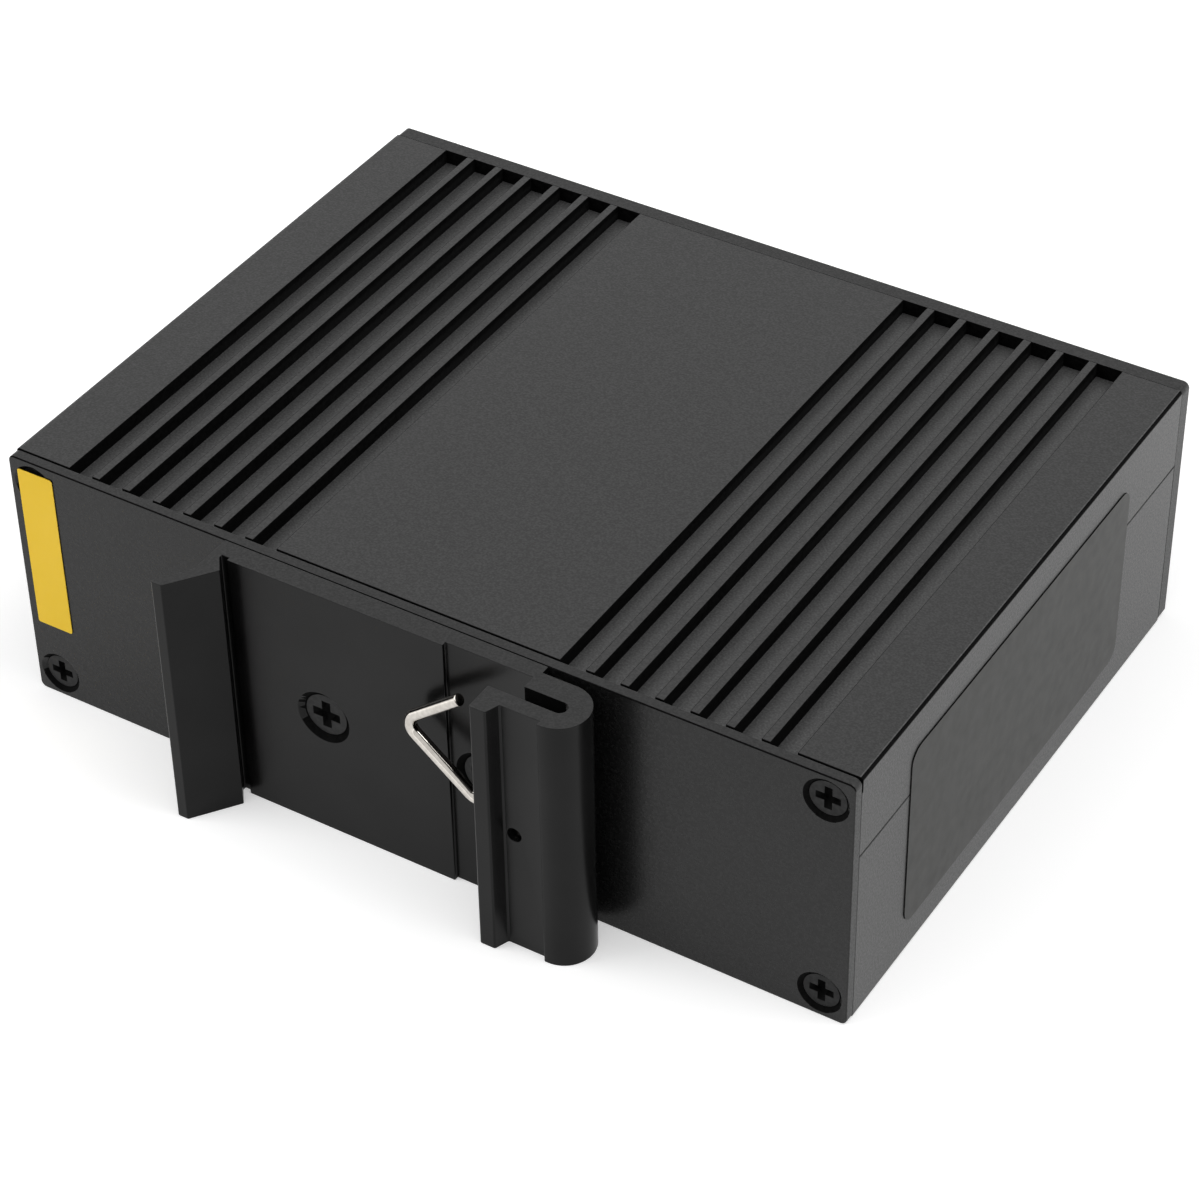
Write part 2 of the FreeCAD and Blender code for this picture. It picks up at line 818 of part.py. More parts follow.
def terminal_screws():
    """Slotted clamping screws that stand on the sleeves."""
    low = header_middle_z + wire_entry_height / 2 - clamp_clearance
    top = header_low_z + terminal_plug_lift + terminal_plug_height - clamp_screw_sunk
    y = plug_outer_y() - clamp_screw_back
    radius = clamp_screw_diameter / 2
    screws = []
    for x in pole_places():
        slot = block(x - radius, x + radius, y - slot_width / 2, y + slot_width / 2, top - slot_depth, top)
        screws.append(rod_z(x, y, radius, low, top).cut(slot))
    return screws


def ground_screw():
    """Pan-head screw on the front plate."""
    radius = ground_screw_diameter / 2
    head_y = rear_y - ground_washer_thickness
    head_radius = ground_head_diameter / 2
    outer_y = head_y - ground_head_height
    head = rod_y(ground_x, middle_z, head_radius, outer_y, head_y)
    shank = rod_y(ground_x, middle_z, radius, outer_y, head_y + ground_screw_length)
    screw = fused([head, shank]).cut(cross_recess(ground_x, middle_z, head_radius, outer_y))
    return facing_front(screw)


def ground_washer():
    """Washer under the ground screw's head."""
    outer_y = rear_y - ground_washer_thickness
    disc = rod_y(ground_x, middle_z, ground_washer_diameter / 2, outer_y, rear_y)
    hole_radius = ground_screw_diameter / 2 + screw_hole_clearance
    return facing_front(disc.cut(rod_y(ground_x, middle_z, hole_radius, outer_y, rear_y)))


def ground_nut():
    """Nut behind the front plate that takes the ground screw."""
    return facing_front(hexagon_nut(ground_x, middle_z, ground_screw_diameter, front_plate_thickness))


def light_places():
    """The status lights' places along X."""
    first = output_jack_x - jack_width / 2 - light_from_jack
    return [first - i * light_pitch for i in range(light_count)]


def light_seat_y():
    """Front face of the lights' holders."""
    return shell_front_y - light_holder_gap


def status_lights():
    """Flat light guides that look through the front plate."""
    half = light_width / 2
    rise = light_height / 2
    return [block(x - half, x + half, light_seat_y(), front_y + light_proud, light_z - rise, light_z + rise)
            for x in light_places()]


def light_holders():
    """Blocks on the board that hold the lights."""
    front = light_seat_y()
    half = light_holder_width / 2
    top = light_z + light_holder_over
    return [block(x - half, x + half, front - light_holder_depth, front, board_top_z, top)
            for x in light_places()]


def chip(x, y, width, depth, height):
    """Moulded package on the board with a bevelled top."""
    half = width / 2
    top = board_top_z + height
    section = [
        (x - half, board_top_z, 0),
        (x + half, board_top_z, 0),
        (x + half, top - chip_chamfer, 0),
        (x + half - chip_chamfer, top, 0),
        (x - half + chip_chamfer, top, 0),
        (x - half, top - chip_chamfer, 0),
    ]
    return along_y(section, y - depth / 2, y + depth / 2)


def lan_transformer():
    """Signal transformer behind the two jacks."""
    x = (input_jack_x + output_jack_x) / 2
    y = jack_rear_y - lan_gap - lan_depth / 2
    return chip(x, y, lan_width, lan_depth, lan_height)


def inductor_x():
    """The inductor's place, beside the left board ribs."""
    return -(inner_half - rib_reach - inductor_wall_gap - inductor_width / 2)


def transformer_x():
    """The power transformer's place, beside the inductor."""
    return inductor_x() + inductor_width / 2 + rear_row_gap + core_width / 2


def transformer_base():
    """Pin base under the power transformer."""
    x = transformer_x()
    half = core_width / 2
    return block(x - half, x + half, rear_row_y - winding_depth / 2, rear_row_y + winding_depth / 2,
                 board_top_z, board_top_z + transformer_base_height)


def core_window():
    """Width and height of one winding window in the core."""
    width = (core_width - 2 * core_yoke - core_leg) / 2
    return width, core_height - 2 * core_yoke


def transformer_core():
    """Ferrite frame with a middle leg."""
    x = transformer_x()
    low = board_top_z + transformer_base_height
    y0 = rear_row_y - core_depth / 2
    y1 = rear_row_y + core_depth / 2
    width, height = core_window()
    sill = low + core_yoke
    leg = core_leg / 2
    frame = block(x - core_width / 2, x + core_width / 2, y0, y1, low, low + core_height)
    right = block(x + leg, x + leg + width, y0, y1, sill, sill + height)
    left = block(x - leg - width, x - leg, y0, y1, sill, sill + height)
    return frame.cut([right, left])


def transformer_winding():
    """Taped winding round the core's middle leg."""
    x = transformer_x()
    low = board_top_z + transformer_base_height + core_yoke + winding_gap
    width, height = core_window()
    high = low + height - 2 * winding_gap
    half = core_leg / 2 + width - winding_gap
    bore = core_leg / 2 + winding_gap
    bore_y = core_depth / 2 + winding_gap
    depth = winding_depth / 2
    coil = block(x - half, x + half, rear_row_y - depth, rear_row_y + depth, low, high)
    return coil.cut(block(x - bore, x + bore, rear_row_y - bore_y, rear_row_y + bore_y, low, high))


def input_capacitor():
    """Can beside the right bracket nut."""
    x = (bracket_screw_spacing + nut_across + can_diameter) / 2 + rear_row_gap
    return rod_z(x, rear_row_y, can_diameter / 2, board_top_z, board_top_z + can_height)


def output_capacitors():
    """Two flat capacitors behind the output terminal."""
    y = header_rear_y - pin_leg_gap - pin_width - capacitor_gap - small_capacitor_depth / 2
    pitch = small_capacitor_width + capacitor_gap
    size = (small_capacitor_width, small_capacitor_depth, small_capacitor_height)
    return [chip(terminal_x + i * pitch, y, *size) for i in range(small_capacitor_count)]


def bridge_rectifiers():
    """Two rectifier packages near the right wall."""
    x = input_jack_x + bridge_size / 2
    offset = (bridge_size + bridge_gap) / 2
    return [chip(x, rear_row_y + side * offset, bridge_size, bridge_size, bridge_height) for side in (-1, 1)]


def controller_chip():
    """Power controller in the middle of the rear row."""
    return chip(0, rear_row_y, chip_length, chip_width, chip_height)


def power_package(x, y):
    """Flat power package with its soldering tab."""
    body = chip(x, y, power_body_width, power_body_length, power_body_height)
    half = power_body_width / 2
    tab = block(x - half, x + half, y - power_body_length / 2 - power_tab, y, board_top_z,
                board_top_z + power_tab_thickness)
    return fused([body, tab])


def switch_transistor():
    """Switching transistor in front of the controller, to its left."""
    return power_package(-power_body_width, rear_row_y + chip_width + power_body_length)


def output_diode():
    """Output rectifier beside the transistor."""
    return power_package(power_body_width / 2, rear_row_y + chip_width + power_body_length)


def power_inductor():
    """Shielded inductor near the left wall."""
    return chip(inductor_x(), rear_row_y, inductor_width, inductor_width, inductor_height)


pieces = {
    "top_shell": [top_shell()],
    "bottom_shell": [bottom_shell()],
    "rear_plate": [rear_plate()],
    "front_plate": [front_plate()],
    "rear_plate_screws": plate_screws(rear_plate_thickness),
    "front_plate_screws": [facing_front(screw) for screw in plate_screws(front_plate_thickness)],
    "rail_bracket": [rail_bracket()],
    "bracket_screws": bracket_screws(),
    "bracket_nuts": bracket_nuts(),
    "spring_wire": [spring_wire()],
    "circuit_board": [circuit_board()],
    "input_jack_shield": [jack_shield_shell(input_jack_x)],
    "input_jack_insert": [jack_insert(input_jack_x)],
    "input_jack_contacts": jack_contacts(input_jack_x),
    "output_jack_shield": [jack_shield_shell(output_jack_x)],
    "output_jack_insert": [jack_insert(output_jack_x)],
    "output_jack_contacts": jack_contacts(output_jack_x),
    "terminal_header": [terminal_header()],
    "terminal_pins": terminal_pins(),
    "terminal_plug": [terminal_plug()],
    "terminal_clamps": terminal_clamps(),
    "terminal_screws": terminal_screws(),
    "ground_screw": [ground_screw()],
    "ground_washer": [ground_washer()],
    "ground_nut": [ground_nut()],
    "status_lights": status_lights(),
    "light_holders": light_holders(),
    "lan_transformer": [lan_transformer()],
    "transformer_base": [transformer_base()],
    "transformer_core": [transformer_core()],
    "transformer_winding": [transformer_winding()],
    "input_capacitor": [input_capacitor()],
    "output_capacitors": output_capacitors(),
    "bridge_rectifiers": bridge_rectifiers(),
    "controller_chip": [controller_chip()],
    "switch_transistor": [switch_transistor()],
    "output_diode": [output_diode()],
    "power_inductor": [power_inductor()],
}

os.makedirs("parts", exist_ok=True)
for name, solids in pieces.items():
    shape = solids[0] if len(solids) == 1 else Part.makeCompound(solids)
    shape.exportStep("parts/" + name + ".step")
    print(name, len(shape.Solids), round(shape.Volume, 2), shape.isValid())
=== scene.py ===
"""Looks of the slim power splitter: finishes of its pieces, two bare stickers, floor, light and camera."""

import json
import math

import bmesh
import bpy
from mathutils import Matrix, Vector

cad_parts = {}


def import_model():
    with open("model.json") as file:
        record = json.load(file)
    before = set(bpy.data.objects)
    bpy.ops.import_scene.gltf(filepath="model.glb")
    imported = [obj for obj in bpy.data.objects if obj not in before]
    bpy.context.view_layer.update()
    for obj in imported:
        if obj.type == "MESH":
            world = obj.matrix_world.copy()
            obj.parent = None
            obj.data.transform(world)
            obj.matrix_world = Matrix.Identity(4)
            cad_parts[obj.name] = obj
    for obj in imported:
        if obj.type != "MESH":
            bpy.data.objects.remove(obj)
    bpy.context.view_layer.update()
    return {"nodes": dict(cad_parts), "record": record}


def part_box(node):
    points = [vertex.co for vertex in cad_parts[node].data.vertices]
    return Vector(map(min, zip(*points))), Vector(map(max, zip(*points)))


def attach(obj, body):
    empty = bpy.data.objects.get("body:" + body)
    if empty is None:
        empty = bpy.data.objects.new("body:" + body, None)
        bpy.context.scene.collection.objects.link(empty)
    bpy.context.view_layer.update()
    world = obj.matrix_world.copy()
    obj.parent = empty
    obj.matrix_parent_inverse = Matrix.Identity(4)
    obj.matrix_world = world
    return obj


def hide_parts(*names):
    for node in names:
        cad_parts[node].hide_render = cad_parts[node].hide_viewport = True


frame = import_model()

MM = 0.001

# Camera, at the photograph's viewing angle
CAMERA_PLACE = Vector((154.2, -245.3, 245.1)) * MM
CAMERA_AZIMUTH = math.radians(32.3)
CAMERA_ELEVATION = math.radians(39.46)
CAMERA_ROLL = math.radians(-1.03)
CAMERA_LENS = 108.7
CAMERA_SENSOR = 36.0
CAMERA_CLIP_START = 10 * MM
CAMERA_CLIP_END = 20.0

# What counts as one point, as a flat surface and as a sharp edge
MERGE_DISTANCE = 0.0005 * MM
FLAT_ANGLE = math.radians(0.6)
SHARP_ANGLE = math.radians(28)

# Rounding of edges, and of the corners in an end plate's outline
EDGE_SEGMENTS = 2
RIM_SEGMENTS = 3
RIM_BAND = 1.0 * MM
RIM_BREAK = 0.12 * MM

# How far the sharp edges of each piece in view are broken
EDGE_BREAKS = {
    "top_shell": 0.14 * MM,
    "bottom_shell": 0.12 * MM,
    "rear_plate": 0.06 * MM,
    "front_plate": 0.06 * MM,
    "rail_bracket": 0.12 * MM,
    "rear_plate_screws": 0.06 * MM,
    "front_plate_screws": 0.06 * MM,
    "bracket_screws": 0.06 * MM,
    "ground_screw": 0.1 * MM,
    "ground_washer": 0.06 * MM,
    "terminal_plug": 0.2 * MM,
    "terminal_screws": 0.08 * MM,
    "status_lights": 0.05 * MM,
    "spring_wire": 0.08 * MM,
    "input_jack_shield": 0.05 * MM,
    "output_jack_shield": 0.05 * MM,
    "input_jack_insert": 0.08 * MM,
    "output_jack_insert": 0.08 * MM,
}

# Plates whose outlines have their corners rounded
ROUNDED_PLATES = ("rear_plate", "front_plate")

# Stickers, measured from the rear plate's outer face, the underside and the left side
LABEL_START = 10.9 * MM
LABEL_END = 56.8 * MM
LABEL_LOW = 3.75 * MM
LABEL_HIGH = 25.6 * MM
LABEL_CORNER = 1.7 * MM
SEAL_LEFT = 1.05 * MM
SEAL_RIGHT = 5.35 * MM
SEAL_LOW = 9.2 * MM
SEAL_HIGH = 28.8 * MM
SEAL_CORNER = 0.25 * MM
STICKER_THICKNESS = 0.1 * MM
STICKER_GAP = 0.01 * MM
STICKER_SEGMENTS = 8

# Where faces of channels, edges and cross recesses are looked for
CHANNEL_REACH = 1.7 * MM
EDGE_BAND = 0.45 * MM
CROSS_DEPTH = 0.84 * MM
CROSS_SHARE = 0.75

# Kinds of face, by an axis's share of the normal: square to the axis, along it, leaning, cut, and sunk cones
SQUARE_LEAST = 0.95
ALONG_MOST = 0.05
LEAN_LEAST = 0.2
CUT_LIMIT = 0.6
CONE_LEAST = 0.64
CONE_MOST = 0.77

# Places of the second finish, painted shade, and of the third finish in a piece's list, after its own
PAINTED_SHADE_INDEX = 1
OTHER_INDEX = 2

# Levels of a noise between which a finish changes
EVEN_STOPS = (0.3, 0.7)
FILM_TONE_STOPS = (0.4, 0.75)
FILM_ROUGHNESS_STOPS = (0.3, 0.75)

# Detail of a noise
PLAIN_DETAIL = 2.0
FINE_DETAIL = 3.0

# Floor: its tone, and how far it is lifted to white near the object and far from it
FLOOR_SIZE = 6.0
FLOOR_TONE = 0.86
FLOOR_NEAR = 0.06
FLOOR_FAR = 0.3
FLOOR_LIFT_NEAR = 0.36
FLOOR_LIFT_FAR = 0.9

# Sky, which fades away from its axis between two cosines
SKY_AXIS = (0.1, -0.35, 0.93)
SKY_FADED = 0.35
SKY_FULL = 0.9
SKY_LOW = 0.1
SKY_HIGH = 1.0

# Lamps, each with its place, its size and its power in watts
LAMP_TARGET = Vector((0, 0, 0.01))
LAMPS = {
    "top_lamp": (Vector((0.48, 0.2, 0.86)), 0.6, 3.5),
    "front_lamp": (Vector((-0.6, -0.45, 0.65)), 0.5, 2.6),
}


def grey(level):
    """Neutral colour."""
    return (level, level, level)


def shader_inputs(material):
    """Sockets of a material's Principled shader."""
    return material.node_tree.nodes["Principled BSDF"].inputs


def new_material(name, uniform):
    """Node material with the uniform values of its shader, by socket."""
    material = bpy.data.materials.new(name)
    material.use_nodes = True
    for socket, value in uniform.items():
        shader_inputs(material)[socket].default_value = value
    return material


def object_place(material):
    """Socket with the place on the object, in metres."""
    return material.node_tree.nodes.new("ShaderNodeTexCoord").outputs["Object"]


def noise(material, size, detail=PLAIN_DETAIL, stretch=None):
    """Noise whose features are about as large as size, in metres; stretch lengthens them along an axis."""
    tree = material.node_tree
    place = object_place(material)
    if stretch:
        mapping = tree.nodes.new("ShaderNodeMapping")
        mapping.inputs["Scale"].default_value = [1 / s for s in stretch]
        tree.links.new(place, mapping.inputs["Vector"])
        place = mapping.outputs["Vector"]
    node = tree.nodes.new("ShaderNodeTexNoise")
    node.inputs["Scale"].default_value = 1 / size
    node.inputs["Detail"].default_value = detail
    tree.links.new(place, node.inputs["Vector"])
    return node.outputs["Fac"]


def vary(material, socket, value, levels, stops=EVEN_STOPS):
    """Takes a shader's socket from one level or colour to another as the value goes from stop to stop."""
    tree = material.node_tree
    node = tree.nodes.new("ShaderNodeValToRGB")
    for element, stop, level in zip(node.color_ramp.elements, stops, levels):
        element.position = stop
        element.color = (*level, 1) if isinstance(level, tuple) else (*grey(level), 1)
    tree.links.new(value, node.inputs["Fac"])
    tree.links.new(node.outputs["Color"], shader_inputs(material)[socket])


def relief(material, height, depth):
    """Fine relief on the shader's normal."""
    tree = material.node_tree
    node = tree.nodes.new("ShaderNodeBump")
    node.inputs["Distance"].default_value = depth
    tree.links.new(height, node.inputs["Height"])
    tree.links.new(node.outputs["Normal"], shader_inputs(material)["Normal"])


def anodised_black(name, tones, roughness, grain_size, grain_depth, ior):
    """Aluminium under a black oxide film, with a fine grain that is smoother where it is paler."""
    material = new_material(name, {"IOR": ior})
    grain = noise(material, grain_size, FINE_DETAIL)
    vary(material, "Base Color", grain, tones, FILM_TONE_STOPS)
    vary(material, "Roughness", grain, roughness, FILM_ROUGHNESS_STOPS)
    relief(material, grain, grain_depth)
    return material


def shell_black():
    """Blasted and anodised aluminium of the two shells."""
    return anodised_black("shell_black", tones=(0.008, 0.03), roughness=(0.42, 0.3),
                          grain_size=0.22 * MM, grain_depth=0.025 * MM, ior=1.45)


def channel_painted_light():
    """Painted light: a paler copy of the shell's film on the floors of the cooling channels, standing in for
    light where the channels shade them.
    """
    return anodised_black("channel_painted_light", tones=(0.036, 0.078), roughness=(0.5, 0.34),
                          grain_size=0.22 * MM, grain_depth=0.02 * MM, ior=1.46)


def cut_black():
    """Darker film on sheared edges of plates and sawn ends of the bracket."""
    return anodised_black("cut_black", tones=(0.005, 0.02), roughness=(0.5, 0.34),
                          grain_size=0.22 * MM, grain_depth=0.025 * MM, ior=1.4)


def plate_black():
    """Smoother satin black of the end plates."""
    return anodised_black("plate_black", tones=(0.004, 0.012), roughness=(0.32, 0.24),
                          grain_size=0.3 * MM, grain_depth=0.01 * MM, ior=1.33)


def painted_shade_black():
    """Painted shade: a dull near-black standing in for the shade and dark reflections on channels' walls,
    countersinks, holes, cross recesses and some roundings.
    """
    material = new_material("painted_shade_black", {"IOR": 1.1})
    grain = noise(material, size=0.4 * MM)
    vary(material, "Base Color", grain, levels=(0.001, 0.004))
    vary(material, "Roughness", grain, levels=(0.55, 0.65))
    return material


def bracket_black():
    """Satin black extrusion with faint lines along its length."""
    material = new_material("bracket_black", {"IOR": 1.25})
    lines = noise(material, size=0.25 * MM, stretch=(1, 1, 60))
    vary(material, "Base Color", noise(material, size=6 * MM), levels=(0.002, 0.005))
    vary(material, "Roughness", lines, levels=(0.255, 0.27))
    relief(material, lines, depth=0.0003 * MM)
    return material


def screw_black():
    """Black zinc on steel."""
    material = new_material("screw_black", {"Metallic": 0.5, "IOR": 1.28})
    wear = noise(material, size=0.5 * MM, detail=FINE_DETAIL)
    vary(material, "Base Color", wear, levels=(0.008, 0.022))
    vary(material, "Roughness", wear, levels=(0.28, 0.42))
    relief(material, wear, depth=0.006 * MM)
    return material


def plated_metal(name, tones, roughness, size=0.4 * MM, stretch=None):
    """Bright plated metal with faint drawn or rolled marks."""
    material = new_material(name, {"Metallic": 1.0})
    marks = noise(material, size, FINE_DETAIL, stretch)
    vary(material, "Base Color", marks, tones)
    vary(material, "Roughness", marks, roughness)
    relief(material, marks, depth=0.002 * MM)
    return material


def spring_nickel():
    """Nickel plated spring wire."""
    return plated_metal("spring_nickel", tones=((0.46, 0.435, 0.4), (0.58, 0.55, 0.51)),
                        roughness=(0.03, 0.06))


def plated_steel():
    """Zinc plated steel of nuts, washer and clamps."""
    return plated_metal("plated_steel", tones=((0.38, 0.38, 0.365), (0.52, 0.52, 0.495)),
                        roughness=(0.25, 0.4))


def shield_steel():
    """Tinned sheet of the jacks' shields."""
    return plated_metal("shield_steel", tones=((0.38, 0.375, 0.355), (0.49, 0.48, 0.46)),
                        roughness=(0.25, 0.36), size=0.3 * MM, stretch=(1, 12, 1))


def contact_gold():
    """Gold plated spring contacts."""
    return plated_metal("contact_gold", tones=((0.75, 0.5, 0.16), (0.9, 0.66, 0.26)),
                        roughness=(0.15, 0.28))


def moulded(name, tones, roughness, grain_size=0.35 * MM, ior=1.5):
    """Moulded plastic or film with a slight texture."""
    material = new_material(name, {"IOR": ior})
    grain = noise(material, grain_size)
    vary(material, "Base Color", noise(material, size=5 * MM), tones)
    vary(material, "Roughness", grain, roughness)
    relief(material, grain, depth=0.006 * MM)
    return material


def ferrite_grey():
    """Sintered ferrite."""
    return moulded("ferrite_grey", tones=(0.05, 0.09), roughness=(0.45, 0.6))


def tape_yellow():
    """Polyester tape round a winding."""
    return moulded("tape_yellow", tones=((0.55, 0.4, 0.05), (0.68, 0.5, 0.08)), roughness=(0.25, 0.35))


def can_aluminium():
    """Dark sleeve of a can capacitor."""
    return moulded("can_aluminium", tones=((0.02, 0.02, 0.03), (0.03, 0.03, 0.05)), roughness=(0.25, 0.35))


def terminal_green():
    """Green moulded terminal."""
    return moulded("terminal_green", tones=((0.02, 0.2, 0.06), (0.03, 0.27, 0.085)), roughness=(0.35, 0.45))


def jack_plastic():
    """Black moulded insert of the jacks."""
    return moulded("jack_plastic", tones=(0.012, 0.02), roughness=(0.4, 0.5))


def chip_black():
    """Moulded epoxy of the parts on the board."""
    return moulded("chip_black", tones=(0.012, 0.022), roughness=(0.5, 0.62))


def label_black():
    """Bare black film label, semi-gloss with a slight orange peel."""
    return moulded("label_black", tones=((0.01, 0.01, 0.008), (0.014, 0.014, 0.012)), roughness=(0.28, 0.34),
                   grain_size=1.5 * MM, ior=1.21)


def seal_yellow():
    """Bare yellow paper-film seal."""
    return moulded("seal_yellow", tones=((0.89, 0.58, 0.026), (0.92, 0.605, 0.036)), roughness=(0.5, 0.6),
                   grain_size=0.5 * MM, ior=1.35)


def board_green():
    """Solder mask over the board's glass weave."""
    material = new_material("board_green", {"Roughness": 0.35})
    weave = noise(material, size=0.6 * MM, detail=1.0, stretch=(1, 4, 1))
    vary(material, "Base Color", weave, levels=((0.01, 0.08, 0.03), (0.015, 0.12, 0.045)))
    relief(material, weave, depth=0.006 * MM)
    return material


def light_green():
    """Tinted clear plastic of the status lights, unlit."""
    material = new_material("light_green", {"Roughness": 0.12, "Transmission Weight": 0.35})
    cloud = noise(material, size=1.2 * MM)
    vary(material, "Base Color", cloud, levels=((0.2, 0.5, 0.22), (0.28, 0.62, 0.3)))
    return material


FINISHES = {make.__name__: make() for make in (
    shell_black, plate_black, bracket_black, screw_black, plated_steel, spring_nickel, board_green,
    shield_steel, jack_plastic, contact_gold, terminal_green, light_green, chip_black, ferrite_grey,
    tape_yellow, can_aluminium,
)}
# Painted shade, a dull black, for recesses, holes and some roundings
PAINTED_SHADE = painted_shade_black()
CUT = cut_black()
# Painted light, a paler film, for the channel floors
CHANNEL_PAINTED_LIGHT = channel_painted_light()


def shell_painted_shade_faces(bm):
    """Walls, broken edges and ends of the top shell's channels, and the rounding of its long edges, which get
    painted shade.
    """
    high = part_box("top_shell")[1]
    found = []
    for face in bm.faces:
        place = face.calc_center_median()
        wall = abs(place.x) < high.x - CHANNEL_REACH
        rounding = abs(place.x) > high.x - EDGE_BAND and max(abs(face.normal.x), face.normal.z) < SQUARE_LEAST
        across = abs(face.normal.x) > LEAN_LEAST and (wall or rounding)
        if place.z > high.z - CHANNEL_REACH and (across or face.normal.y < -LEAN_LEAST):
            found.append(face)
    return found


def channel_floors(bm):
    """Floors of the top shell's channels, which get painted light."""
    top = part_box("top_shell")[1].z
    level = [face for face in bm.faces if face.normal.z > SQUARE_LEAST]
    return [face for face in level if MERGE_DISTANCE < top - face.calc_center_median().z < CHANNEL_REACH]


def plate_edges(bm):
    """Edges of an end plate and walls of its holes."""
    return [face for face in bm.faces if abs(face.normal.y) < CUT_LIMIT]


def plate_upper_edge(bm):
    """Rounding of the rear plate's upper edge, towards the rear, which gets painted shade as a dark fringe.
    """
    return [face for face in bm.faces if min(face.normal.z, -face.normal.y) > LEAN_LEAST]


def plate_inner_face(bm):
    """Inner face of the front plate, which gets painted shade where it shows at the channels' far ends."""
    return [face for face in bm.faces if face.normal.y < -CUT_LIMIT]


def sink_cones(bm, screws):
    """Faces of the countersinks round a node of screws in a rear piece, which get painted shade."""
    low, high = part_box(screws)
    cones = [face for face in bm.faces if CONE_LEAST < -face.normal.y < CONE_MOST]
    return [face for face in cones if low.x < face.calc_center_median().x < high.x]


def bracket_painted_shade_faces(bm):
    """Faces of the bracket's countersinks and of its holes, which get painted shade."""
    bores = [face for face in bm.faces if abs(face.normal.y) < ALONG_MOST < abs(face.normal.z) < SQUARE_LEAST]
    return sink_cones(bm, "bracket_screws") + bores


def bracket_ends(bm):
    """Faces at the bracket's lower and upper ends."""
    low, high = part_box("rail_bracket")
    ends = [face for face in bm.faces if abs(face.normal.z) > CUT_LIMIT]
    return [face for face in ends if not low.z + EDGE_BAND < face.calc_center_median().z < high.z - EDGE_BAND]


def islands(bm):
    """Groups of faces that hang together, one for each solid of a node."""
    left = set(bm.faces)
    while left:
        group = [left.pop()]
        for face in group:
            near = {other for edge in face.edges for other in edge.link_faces} & left
            left -= near
            group.extend(near)
        yield group


def crosses(bm, outward):
    """Faces of the cross recesses in screws that face along Y, outward being 1 or -1, which get painted
    shade.
    """
    found = []
    for group in islands(bm):
        corners = [vert.co for face in group for vert in face.verts]
        outer = max(outward * co.y for co in corners)
        head = max(co.x for co in corners) - min(co.x for co in corners)
        middle = sum(corners, Vector()) / len(corners)
        for face in group:
            place = face.calc_center_median()
            sunk = MERGE_DISTANCE < outer - outward * place.y < CROSS_DEPTH
            inside = max(abs(place.x - middle.x), abs(place.z - middle.z)) < CROSS_SHARE * head / 2
            if sunk and inside and outward * face.normal.y > -ALONG_MOST:
                found.append(face)
    return found


# Faces of each piece that get painted shade, a dull black, found before its edges are broken
PAINTED_SHADE_FACES = {
    "rear_plate": lambda bm: sink_cones(bm, "rear_plate_screws"),
    "front_plate": plate_inner_face,
    "rail_bracket": bracket_painted_shade_faces,
    "rear_plate_screws": lambda bm: crosses(bm, -1),
    "front_plate_screws": lambda bm: crosses(bm, 1),
    "bracket_screws": lambda bm: crosses(bm, -1),
    "ground_screw": lambda bm: crosses(bm, 1),
}

# The same, found after its edges are broken
PAINTED_SHADE_EDGE_FACES = {"top_shell": shell_painted_shade_faces, "rear_plate": plate_upper_edge}

# Faces of each piece that have a third finish, and that finish, which on the top shell is painted light on
# the channel floors
OTHER_FACES = {
    "top_shell": channel_floors,
    "rear_plate": plate_edges,
    "front_plate": plate_edges,
    "rail_bracket": bracket_ends,
}
OTHER_FINISHES = {"top_shell": CHANNEL_PAINTED_LIGHT, "rear_plate": CUT, "front_plate": CUT, "rail_bracket": CUT}


def new_piece(name, bm, finishes):
    """Object of the part from a bmesh, shaded smooth with flat faces kept flat."""
    mesh = bpy.data.meshes.new(name)
    for face in bm.faces:
        face.smooth = True
    bm.to_mesh(mesh)
    bm.free()
    for finish in finishes:
        mesh.materials.append(finish)
    piece = bpy.data.objects.new(name, mesh)
    bpy.context.scene.collection.objects.link(piece)
    weighted = piece.modifiers.new("flat_faces", "WEIGHTED_NORMAL")
    weighted.keep_sharp = True
    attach(piece, "root")
    return piece


def edge_angle(edge):
    """Angle between an edge's two faces."""
    return edge.calc_face_angle(0) if len(edge.link_faces) == 2 else 0


def outline_edges(bm, node):
    """Edges at the corners of an end plate's outline, apart from those of its holes."""
    low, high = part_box(node)
    found = []
    for edge in bm.edges:
        middle = (edge.verts[0].co + edge.verts[1].co) / 2
        margin = min(middle.x - low.x, high.x - middle.x, middle.z - low.z, high.z - middle.z)
        across = min(abs(face.normal.y) for face in edge.link_faces)
        if margin < RIM_BAND and across < ALONG_MOST and edge_angle(edge) > SHARP_ANGLE:
            found.append(edge)
    return found


def break_edges(bm, edges, width, segments):
    """Rounds edges of a mesh."""
    bmesh.ops.bevel(bm, geom=edges, offset=width, offset_type="OFFSET", affect="EDGES",
                    segments=segments, profile=0.5, material=-1, clamp_overlap=True)


def set_finish(bm, node, finders, index):
    """Gives faces of a node another of its piece's finishes, if there is a finder for them."""
    if node in finders:
        for face in finders[node](bm):
            face.material_index = index


